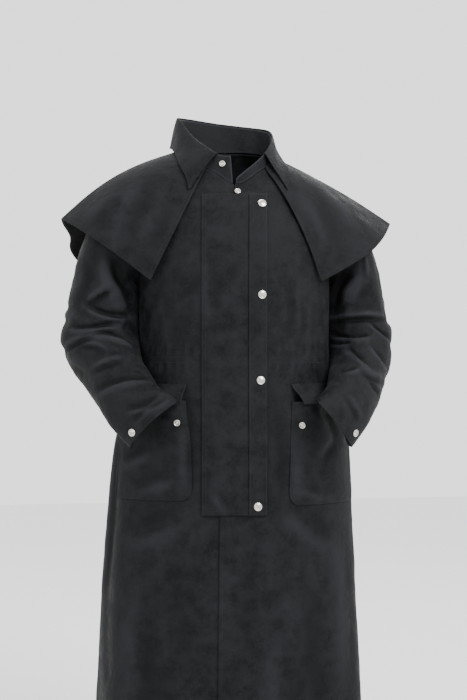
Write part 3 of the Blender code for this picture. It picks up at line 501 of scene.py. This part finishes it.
# pulled from the pockets' lower corners, beside the flap, below the waist and down the skirt
BODY_FOLDS = (
    Fold("front", (-0.242, -0.783), (-0.128, -0.734), 0.04, 0.020, 0.0023),
    Fold("front", (0.111, -0.732), (0.194, -0.802), 0.05, 0.020, 0.0023),
    Fold("front", (0.078, -0.752), (0.065, -0.514), 0.03, 0.016, 0.0023),
    Fold("front", (0.105, -0.399), (0.097, -0.279), 0.03, 0.010, 0.0018),
    Fold("front", (0.124, -0.423), (0.130, -0.312), 0.02, 0.010, 0.0014),
    Fold("front", (-0.193, -0.298), (-0.189, -0.407), 0.03, 0.011, 0.0018),
    Fold("front", (-0.150, -0.313), (-0.140, -0.419), -0.03, 0.011, 0.0013),
    Fold("front", (-0.117, -0.527), (-0.111, -0.720), -0.03, 0.010, 0.0021),
    Fold("front", (-0.258, -0.758), (-0.268, -1.150), 0.02, 0.021, 0.0025),
    Fold("front", (0.222, -0.768), (0.239, -1.150), -0.02, 0.021, 0.0025),
    Fold("front", (-0.173, -0.880), (-0.195, -1.200), 0.03, 0.026, 0.0021),
    Fold("front", (0.143, -0.890), (0.164, -1.230), 0.03, 0.026, 0.0021),
    Fold("front", (0.003, -0.845), (0.012, -1.060), 0.05, 0.024, 0.0013),
    Fold("front", (-0.132, -0.842), (-0.120, -1.080), 0.05, 0.024, 0.0013),
    Fold("front", (0.090, -0.960), (0.085, -1.280), -0.03, 0.028, 0.0019),
    Fold("front", (-0.060, -0.215), (-0.050, -0.374), 0.04, 0.010, 0.0016),
    Fold("front", (-0.056, -0.699), (-0.031, -0.746), 0.05, 0.007, 0.0018),
    Fold("left", (-0.060, -0.560), (-0.080, -0.900), 0.04, 0.016, 0.0050),
    Fold("right", (-0.070, -0.540), (-0.080, -0.930), -0.04, 0.016, 0.0050),
    Fold("left", (0.020, -0.700), (0.050, -1.200), 0.03, 0.020, 0.0060),
    Fold("right", (0.010, -0.680), (0.040, -1.240), -0.03, 0.020, 0.0060),
    Fold("back", (0.170, -0.250), (0.080, -0.420), 0.10, 0.013, 0.0055),
    Fold("back", (-0.165, -0.240), (-0.070, -0.400), -0.10, 0.013, 0.0055),
    Fold("back", (0.060, -0.330), (0.050, -0.450), 0.04, 0.012, 0.0030),
    Fold("back", (-0.030, -0.350), (-0.040, -0.452), -0.04, 0.012, 0.0030),
    Fold("back", (0.120, -0.470), (0.150, -0.760), 0.03, 0.015, 0.0045),
    Fold("back", (-0.125, -0.470), (-0.160, -0.740), -0.03, 0.015, 0.0045),
    Fold("back", (0.030, -0.480), (0.050, -0.950), 0.03, 0.018, 0.0050),
    Fold("back", (-0.040, -0.500), (-0.050, -1.020), -0.03, 0.018, 0.0050),
    Fold("back", (0.200, -0.800), (0.215, -1.260), 0.02, 0.020, 0.0055),
    Fold("back", (-0.205, -0.780), (-0.225, -1.250), -0.02, 0.020, 0.0055),
    Fold("back", (0.110, -0.900), (0.120, -1.280), 0.03, 0.022, 0.0050),
    Fold("back", (-0.130, -0.880), (-0.120, -1.290), 0.03, 0.022, 0.0050),
)

# the casing at the waist gathers the cloth into short uneven puckers, above and below its
# stitches: where each is across, and how far up it runs
WAIST_TOP = -0.430
WAIST_BOTTOM = -0.441
GATHERS = (
    (-0.178, 0.020), (-0.160, 0.030), (-0.143, 0.018), (-0.126, 0.034), (-0.108, 0.022),
    (0.064, 0.024), (0.081, 0.034), (0.097, 0.020), (0.113, 0.038), (0.131, 0.024), (0.152, 0.032),
)
BACK_GATHERS = (
    (-0.170, 0.026), (-0.148, 0.040), (-0.121, 0.024), (-0.096, 0.044), (-0.070, 0.028),
    (-0.041, 0.036), (-0.012, 0.024), (0.016, 0.042), (0.045, 0.026), (0.073, 0.036),
    (0.102, 0.024), (0.133, 0.042), (0.165, 0.028),
)
GATHER_BOW = 0.05
GATHER_WIDTH = 0.0050
GATHER_DEPTHS = (0.0011, 0.0010)


def gather_folds(look, gathers):
    """Short folds that run up and down from the casing at the waist."""
    folds = []
    for x, reach in gathers:
        above = ((x, WAIST_TOP), (x + 0.004, WAIST_TOP + reach))
        below = ((x + 0.003, WAIST_BOTTOM), (x, WAIST_BOTTOM - reach * 0.8))
        for (start, end), depth in zip((above, below), GATHER_DEPTHS):
            folds.append(Fold(look, start, end, GATHER_BOW, GATHER_WIDTH, depth))
    return folds


# the casing's two rows of stitches: the look that finds them, and how far they run
CASING = (
    ("front", -0.204, -0.089),
    ("front", 0.050, 0.205),
    ("left", -0.160, 0.080),
    ("right", -0.160, 0.080),
    ("back", -0.190, 0.190),
)
# above this the cape and the collar cover the seams
BODY_SEWN_BELOW = -0.12
# each piece's finished size laid flat, across and down, and its area
BODY_CUTS = (
    ("front_left", (0.52, 1.36), 0.49),
    ("front_right", (0.46, 1.36), 0.46),
    ("back", (0.70, 1.40), 0.86),
)

snaps = snap_places()
body = {}
for node, flat, area in BODY_CUTS:
    body[node] = fine_piece(node + "_cloth", outer_skin(node, BODY_MIDDLE), FINE)
body_tree = tree_of(body.values())
body_folds = list(BODY_FOLDS) + gather_folds("front", GATHERS) + gather_folds("back", BACK_GATHERS)
body_lines = [(fold, fold_line(body_tree, fold)) for fold in body_folds]
casing = []
for look, first, last in CASING:
    for height in (WAIST_TOP, WAIST_BOTTOM):
        row = Fold(look, (first, height), (last, height), 0, 0, 0)
        casing.append([Vector(place) for place in fold_line(body_tree, row)])
for node, piece in body.items():
    crease_cloth(piece, body_lines, snaps)
creased_body = tree_of(body.values())
for node, flat, area in BODY_CUTS:
    finish_cloth(body[node], node,
                 SEAM_ROW, BODY_SEWN_BELOW, casing)

# The sleeves: tubes of the same waxed cotton, set into the armholes and bent at the elbow.
# They crumple inside the bend, lie against the body above it, and are topstitched at the cuff.
SLEEVE_FOLDS = {
    "sleeve_right": (
        Fold("front", (-0.311, -0.320), (-0.234, -0.342), 0.10, 0.0055, 0.0070),
        Fold("front", (-0.261, -0.290), (-0.311, -0.324), 0.00, 0.0070, 0.0060),
        Fold("front", (-0.363, -0.365), (-0.252, -0.357), 0.05, 0.0055, 0.0070),
        Fold("front", (-0.305, -0.378), (-0.217, -0.407), -0.12, 0.0065, 0.0075),
        Fold("front", (-0.301, -0.394), (-0.355, -0.421), 0.12, 0.0065, 0.0045),
        Fold("front", (-0.282, -0.419), (-0.332, -0.415), 0.15, 0.0055, 0.0042),
        Fold("front", (-0.243, -0.436), (-0.305, -0.463), 0.05, 0.0065, 0.0055),
        Fold("front", (-0.301, -0.500), (-0.186, -0.471), -0.10, 0.0075, 0.0065),
        Fold("front", (-0.243, -0.532), (-0.180, -0.501), 0.08, 0.0060, 0.0045),
        Fold("front", (-0.257, -0.219), (-0.224, -0.319), 0.05, 0.0130, 0.0080),
        Fold("front", (-0.307, -0.232), (-0.324, -0.311), -0.05, 0.0130, 0.0030),
        Fold("front", (-0.218, -0.534), (-0.160, -0.502), 0.08, 0.0050, 0.0030),
        Fold("front", (-0.240, -0.560), (-0.207, -0.532), 0.05, 0.0045, 0.0024),
        Fold("right", (-0.100, -0.368), (0.010, -0.352), 0.06, 0.0100, 0.0036),
        Fold("right", (-0.080, -0.410), (0.015, -0.404), -0.08, 0.0100, 0.0030),
        Fold("right", (0.020, -0.300), (-0.060, -0.330), 0.10, 0.0100, 0.0030),
        Fold("right", (-0.020, -0.210), (-0.050, -0.290), 0.05, 0.0120, 0.0030),
        Fold("right", (-0.120, -0.470), (-0.060, -0.450), 0.10, 0.0100, 0.0027),
        Fold("back", (0.225, -0.330), (0.320, -0.352), 0.05, 0.0070, 0.0060),
        Fold("back", (-0.225, -0.350), (-0.330, -0.372), 0.08, 0.0070, 0.0065),
        Fold("back", (-0.330, -0.300), (-0.235, -0.285), 0.10, 0.0080, 0.0055),
        Fold("back", (-0.320, -0.430), (-0.240, -0.395), -0.10, 0.0070, 0.0055),
        Fold("back", (-0.250, -0.200), (-0.280, -0.270), 0.05, 0.0120, 0.0050),
        Fold("back", (-0.300, -0.490), (-0.240, -0.450), 0.10, 0.0065, 0.0045),
    ),
    "sleeve_left": (
        Fold("front", (0.333, -0.351), (0.213, -0.359), 0.05, 0.0055, 0.0072),
        Fold("front", (0.292, -0.351), (0.339, -0.391), 0.05, 0.0045, 0.0055),
        Fold("front", (0.213, -0.377), (0.288, -0.379), 0.10, 0.0055, 0.0062),
        Fold("front", (0.213, -0.400), (0.255, -0.396), 0.05, 0.0045, 0.0045),
        Fold("front", (0.244, -0.404), (0.279, -0.449), 0.12, 0.0065, 0.0052),
        Fold("front", (0.290, -0.402), (0.333, -0.454), 0.06, 0.0065, 0.0052),
        Fold("front", (0.324, -0.488), (0.248, -0.460), -0.06, 0.0065, 0.0052),
        Fold("front", (0.302, -0.533), (0.264, -0.477), 0.08, 0.0055, 0.0050),
        Fold("front", (0.207, -0.460), (0.244, -0.449), 0.00, 0.0055, 0.0055),
        Fold("front", (0.237, -0.327), (0.251, -0.240), -0.12, 0.0140, 0.0090),
        Fold("front", (0.279, -0.262), (0.273, -0.209), 0.00, 0.0050, 0.0030),
        Fold("front", (0.228, -0.562), (0.201, -0.512), 0.05, 0.0065, 0.0030),
        Fold("left", (-0.100, -0.362), (0.012, -0.350), -0.06, 0.0100, 0.0036),
        Fold("left", (-0.090, -0.400), (0.010, -0.412), 0.08, 0.0100, 0.0033),
        Fold("left", (0.020, -0.310), (-0.055, -0.325), -0.10, 0.0100, 0.0027),
        Fold("left", (-0.030, -0.200), (-0.045, -0.280), 0.05, 0.0120, 0.0030),
        Fold("left", (-0.125, -0.480), (-0.055, -0.455), 0.10, 0.0100, 0.0027),
        Fold("back", (0.215, -0.345), (0.325, -0.365), -0.08, 0.0070, 0.0065),
        Fold("back", (0.325, -0.305), (0.230, -0.280), -0.10, 0.0080, 0.0055),
        Fold("back", (0.325, -0.425), (0.235, -0.400), 0.10, 0.0070, 0.0055),
        Fold("back", (0.260, -0.195), (0.285, -0.265), 0.05, 0.0120, 0.0050),
        Fold("back", (0.310, -0.495), (0.235, -0.440), 0.10, 0.0065, 0.0045),
    ),
}
# only the cuff's rim is topstitched, and the sleeves crumple more than the body
SLEEVE_SEWN_BELOW = -0.45
SLEEVE_RIPPLE = 2.2
# where the upper sleeve lies against the body's side: its height, the furthest the cloth gives
# to reach it, and the air that stays between the two
REST_TOP = -0.26
REST_BOTTOM = -0.49
REST_FADE = 0.03
REST_GIVE = 0.0062
REST_AIR = 0.0016
# how squarely the cloth must face the body before it gives at all, and before it gives fully
FACING_LEAST = 0.2
FACING_FULL = 0.8


def lay_against(piece, tree):
    """Lets the sleeve's inner face out until it lies against the body's side."""
    points = [(v.index, v.co.copy(), v.normal.copy()) for v in piece.data.vertices]
    for index, place, normal in points:
        inside = min(REST_TOP - place.z, place.z - REST_BOTTOM)
        inward = -math.copysign(normal.x, normal.x * place.x)
        if inside < 0 or inward < FACING_LEAST:
            continue
        give = max(0, min(tree.find_nearest(place)[3] - REST_AIR, REST_GIVE))
        share = min(1, inside / REST_FADE)
        share *= min(1, (inward - FACING_LEAST) / (FACING_FULL - FACING_LEAST))
        shift = math.copysign(give * share, place.x)
        piece.data.vertices[index].co = place - Vector((shift, 0, 0))


for side in ("left", "right"):
    node = "sleeve_" + side
    piece = fine_piece(node + "_cloth", outer_skin(node, None), FINE)
    tree = tree_of([piece])
    sleeve_lines = [(fold, fold_line(tree, fold)) for fold in SLEEVE_FOLDS[node]]
    crease_cloth(piece, sleeve_lines, snaps, SLEEVE_RIPPLE)
    lay_against(piece, creased_body)
    finish_cloth(piece, node,
                 top=SLEEVE_SEWN_BELOW)

# The shoulder cape: two fronts and a back of waxed cotton, joined by shoulder seams and sewn in
# at the neck. The fronts fall in soft broad folds, and the back hangs in flutes from the neck.
CAPE_FOLDS = (
    Fold("front", (-0.170, -0.060), (-0.230, -0.200), 0.06, 0.020, 0.0019),
    Fold("front", (-0.130, -0.090), (-0.190, -0.240), 0.05, 0.018, 0.0016),
    Fold("front", (-0.235, -0.100), (-0.300, -0.165), 0.05, 0.018, 0.0016),
    Fold("front", (0.150, -0.060), (0.215, -0.215), -0.05, 0.019, 0.0020),
    Fold("front", (0.195, -0.055), (0.285, -0.170), -0.06, 0.017, 0.0019),
    Fold("front", (0.130, -0.120), (0.165, -0.235), -0.05, 0.016, 0.0015),
    Fold("front", (0.240, -0.090), (0.320, -0.140), 0.06, 0.016, 0.0014),
    Fold("back", (0.180, -0.060), (0.250, -0.250), 0.05, 0.016, 0.0042),
    Fold("back", (0.110, -0.080), (0.150, -0.290), 0.04, 0.018, 0.0048),
    Fold("back", (0.030, -0.070), (0.040, -0.315), -0.03, 0.018, 0.0040),
    Fold("back", (-0.050, -0.080), (-0.060, -0.315), 0.03, 0.016, 0.0044),
    Fold("back", (-0.120, -0.070), (-0.170, -0.280), -0.04, 0.018, 0.0050),
    Fold("back", (-0.190, -0.060), (-0.270, -0.230), -0.05, 0.015, 0.0040),
)
# each piece's finished size laid flat, its area, and what it lies on
CAPE_CUTS = (
    ("cape_front_left", (0.36, 0.34), 0.064, "sleeve_left"),
    ("cape_front_right", (0.36, 0.34), 0.064, "sleeve_right"),
    ("cape_back", (0.90, 0.42), 0.24, "back"),
)

cape = {}
for node, flat, area, under in CAPE_CUTS:
    cape[node] = fine_piece(node + "_cloth", outer_skin(node, BODY_MIDDLE), FINE)
cape_tree = tree_of(cape.values())
cape_lines = [(fold, fold_line(cape_tree, fold)) for fold in CAPE_FOLDS]
for piece in cape.values():
    crease_cloth(piece, cape_lines, snaps)
for node, flat, area, under in CAPE_CUTS:
    finish_cloth(cape[node], node)

# The collar: a stand sewn to the neck seam, and the leaf sewn to its top that turns down over it.
# Both are doubled waxed cotton, topstitched, and the stand's edge is rubbed pale.
NECK_MIDDLE = Vector((0, -0.03, 0.0))
COLLAR_RIPPLE = 0.7
# each piece's finished size laid flat, its rows of stitches, and how pale its edge is rubbed
COLLAR_CUTS = (
    ("collar_stand", (0.50, 0.067), (0.0040,), 0.8),
    ("collar_leaf", (0.62, 0.14), EDGE_ROWS, 0.15),
)
for node, flat, rows, worn_edge in COLLAR_CUTS:
    piece = fine_piece(node + "_cloth", outer_skin(node, NECK_MIDDLE), FINE)
    crease_cloth(piece, [], snaps, COLLAR_RIPPLE, worn_edge)
    finish_cloth(piece, node, rows=rows)

# The closure: the storm flap, doubled waxed cotton sewn to the left front along one edge, and the
# snap band topstitched along its free edge, which the snaps hold down. Both hang almost flat.
CLOSURE_RIPPLE = 0.6
# each piece's finished size laid flat, how finely it is divided, and how pale its edge is rubbed
CLOSURE_CUTS = (
    ("storm_flap", (0.14, 0.67), FINE, 0.1),
    ("snap_band", (0.04, 0.67), COARSE, 0.25),
)
for node, flat, levels, worn_edge in CLOSURE_CUTS:
    piece = fine_piece(node + "_cloth", outer_skin(node, BODY_MIDDLE), levels)
    crease_cloth(piece, body_lines, snaps, CLOSURE_RIPPLE, worn_edge)
    finish_cloth(piece, node)

# The patch pockets: waxed cotton turned in and topstitched to the fronts on three sides, with the
# mouth left open, and the short flaps sewn on above, which the hands have bunched up.
POCKET_FOLDS = {
    "left": (
        Fold("front", (0.205, -0.614), (0.171, -0.649), 0.10, 0.0110, 0.0028),
        Fold("front", (0.152, -0.529), (0.205, -0.601), -0.10, 0.0120, 0.0026),
        Fold("front", (0.120, -0.690), (0.180, -0.710), 0.04, 0.0090, 0.0018),
    ),
    "right": (
        Fold("front", (-0.242, -0.641), (-0.193, -0.609), 0.06, 0.0100, 0.0030),
        Fold("front", (-0.225, -0.690), (-0.150, -0.660), 0.04, 0.0120, 0.0022),
    ),
}
POCKET_WORN_EDGE = 0.15
# each kind of piece, its finished size laid flat, and whether the pocket's own folds cross it
POCKET_CUTS = (
    ("pocket_", (0.175, 0.22), True),
    ("pocket_flap_", (0.16, 0.06), False),
)
for side in ("left", "right"):
    for kind, flat, folded in POCKET_CUTS:
        piece = fine_piece(kind + side + "_cloth", outer_skin(kind + side, BODY_MIDDLE), FINE)
        tree = tree_of([piece])
        own = [(fold, fold_line(tree, fold)) for fold in POCKET_FOLDS[side] if folded]
        crease_cloth(piece, body_lines + own, snaps, worn_edge=POCKET_WORN_EDGE)
        finish_cloth(piece, kind + side)

# The snap fasteners: nickel-plated brass, turned and pressed. Domed caps with a rolled rim close
# the flap and the cuffs, and ring studs stand open on the pockets and at the neck.
# Each shape is given as shares of the snap's radius and height.
CAP_SHAPE = (
    (0, 0), (0.94, 0), (1, 0.16), (1, 0.42), (0.97, 0.56), (0.925, 0.60), (0.885, 0.52), (0.84, 0.52),
    (0.74, 0.68), (0.56, 0.86), (0.34, 0.96), (0.14, 1), (0, 1),
)
STUD_SHAPE = (
    (0, 0), (0.94, 0), (1, 0.2), (1, 0.5), (0.95, 0.85), (0.86, 1), (0.75, 0.97), (0.66, 0.78),
    (0.62, 0.45), (0.59, 0.22), (0.45, 0.2), (0.41, 0.32), (0.38, 0.64), (0.30, 0.76),
    (0.15, 0.8), (0, 0.8),
)
SNAP_STEPS = 36
SNAP_MERGE = 0.00001
# the size of the tarnish's patches
TARNISH = 0.006

# nickel over brass gives a bright soft gleam, yellower and duller where it is tarnished
snap_metal = new_material("nickel_plated_brass")
place = add_node(snap_metal.node_tree, "ShaderNodeTexCoord").outputs["Object"]
tarnish = add_node(snap_metal.node_tree, "ShaderNodeTexNoise",
                   values={"Scale": 1 / TARNISH, "Detail": 4},
                   links={"Vector": place}).outputs["Fac"]
tone = blend(snap_metal.node_tree, tarnish, "#d2d0cb", "#948c80")
polish = add_node(snap_metal.node_tree, "ShaderNodeMapRange", values={"To Min": 0.18, "To Max": 0.38},
                  links={"Value": tarnish}).outputs["Result"]
surface = add_node(snap_metal.node_tree, "ShaderNodeBsdfPrincipled", values={"Metallic": 1},
                   links={"Base Color": tone, "Roughness": polish}).outputs["BSDF"]
add_node(snap_metal.node_tree, "ShaderNodeOutputMaterial", links={"Surface": surface})

for node in [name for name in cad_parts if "_snap" in name]:
    places = np.array([tuple(v.co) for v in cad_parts[node].data.vertices])
    middle = places.mean(axis=0)
    facing = np.linalg.svd(places - middle)[2][2]
    facing *= -np.sign(facing[1])
    rises = (places - middle) @ facing
    radius = np.linalg.norm(places - middle - rises[:, None] * facing, axis=1).max()
    height = rises.max() - rises.min()
    turned = Vector(facing).to_track_quat("Z", "Y").to_matrix().to_4x4()
    foot = Matrix.Translation(middle + facing * rises.min()) @ turned
    snap_mesh = bmesh.new()
    shape = CAP_SHAPE if "cuff" in node or "flap" in node else STUD_SHAPE
    points = [snap_mesh.verts.new((out * radius, 0, up * height)) for out, up in shape]
    edges = [snap_mesh.edges.new(pair) for pair in zip(points, points[1:])]
    bmesh.ops.spin(snap_mesh, geom=points + edges, cent=(0, 0, 0), axis=(0, 0, 1), angle=math.tau,
                   steps=SNAP_STEPS, use_merge=True)
    bmesh.ops.remove_doubles(snap_mesh, verts=snap_mesh.verts, dist=SNAP_MERGE)
    bmesh.ops.recalc_face_normals(snap_mesh, faces=snap_mesh.faces)
    bmesh.ops.transform(snap_mesh, matrix=foot, verts=snap_mesh.verts)
    turned_snap = bpy.data.objects.new(node + "_turned", bpy.data.meshes.new(node + "_turned"))
    snap_mesh.to_mesh(turned_snap.data)
    snap_mesh.free()
    turned_snap.data.materials.append(snap_metal)
    turned_snap.data.shade_smooth()
    scene.collection.objects.link(turned_snap)
    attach(turned_snap, "root")
    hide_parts(node)

# The studio: matt white paper under the hem, a soft key light from the coat's left, a wide fill
# from its right, a rim light from behind, and even light all round.
FLOOR_HEIGHT = -1.36
FLOOR_REACH = 6
DAYLIGHT = (0.94, 0.95, 0.96, 1)
DAYLIGHT_STRENGTH = 2.0

floor_mesh = bmesh.new()
bmesh.ops.create_grid(floor_mesh, x_segments=1, y_segments=1, size=FLOOR_REACH)
bmesh.ops.translate(floor_mesh, verts=floor_mesh.verts, vec=(0, 0, FLOOR_HEIGHT))
floor = bpy.data.objects.new("floor", bpy.data.meshes.new("floor"))
floor_mesh.to_mesh(floor.data)
floor_mesh.free()
scene.collection.objects.link(floor)
paper = new_material("matt_studio_paper")
surface = add_node(paper.node_tree, "ShaderNodeBsdfPrincipled",
                   values={"Base Color": linear("#ececea"), "Roughness": 0.9}).outputs["BSDF"]
add_node(paper.node_tree, "ShaderNodeOutputMaterial", links={"Surface": surface})
floor.data.materials.append(paper)


def area_light(name, place, aim, size, power, colour):
    """A square soft light that faces a point."""
    light = bpy.data.objects.new(name, bpy.data.lights.new(name, "AREA"))
    light.data.size = size
    light.data.energy = power
    light.data.color = colour
    light.location = place
    light.rotation_euler = (Vector(aim) - Vector(place)).to_track_quat("-Z", "Y").to_euler()
    scene.collection.objects.link(light)


area_light("key", (1.5, -2.4, 1.7), (0, 0, -0.3), 1.4, 150, (0.97, 0.985, 1))
area_light("fill", (-2.2, -2.2, 0.6), (0, 0, -0.6), 2.4, 40, (1, 0.99, 0.97))
area_light("rim", (1.2, 2.0, 1.6), (0, 0, -0.2), 1.6, 22, (1, 1, 1))
world = bpy.data.worlds.new("studio")
scene.world = world
world.use_nodes = True
background = world.node_tree.nodes["Background"]
background.inputs["Color"].default_value = DAYLIGHT
background.inputs["Strength"].default_value = DAYLIGHT_STRENGTH
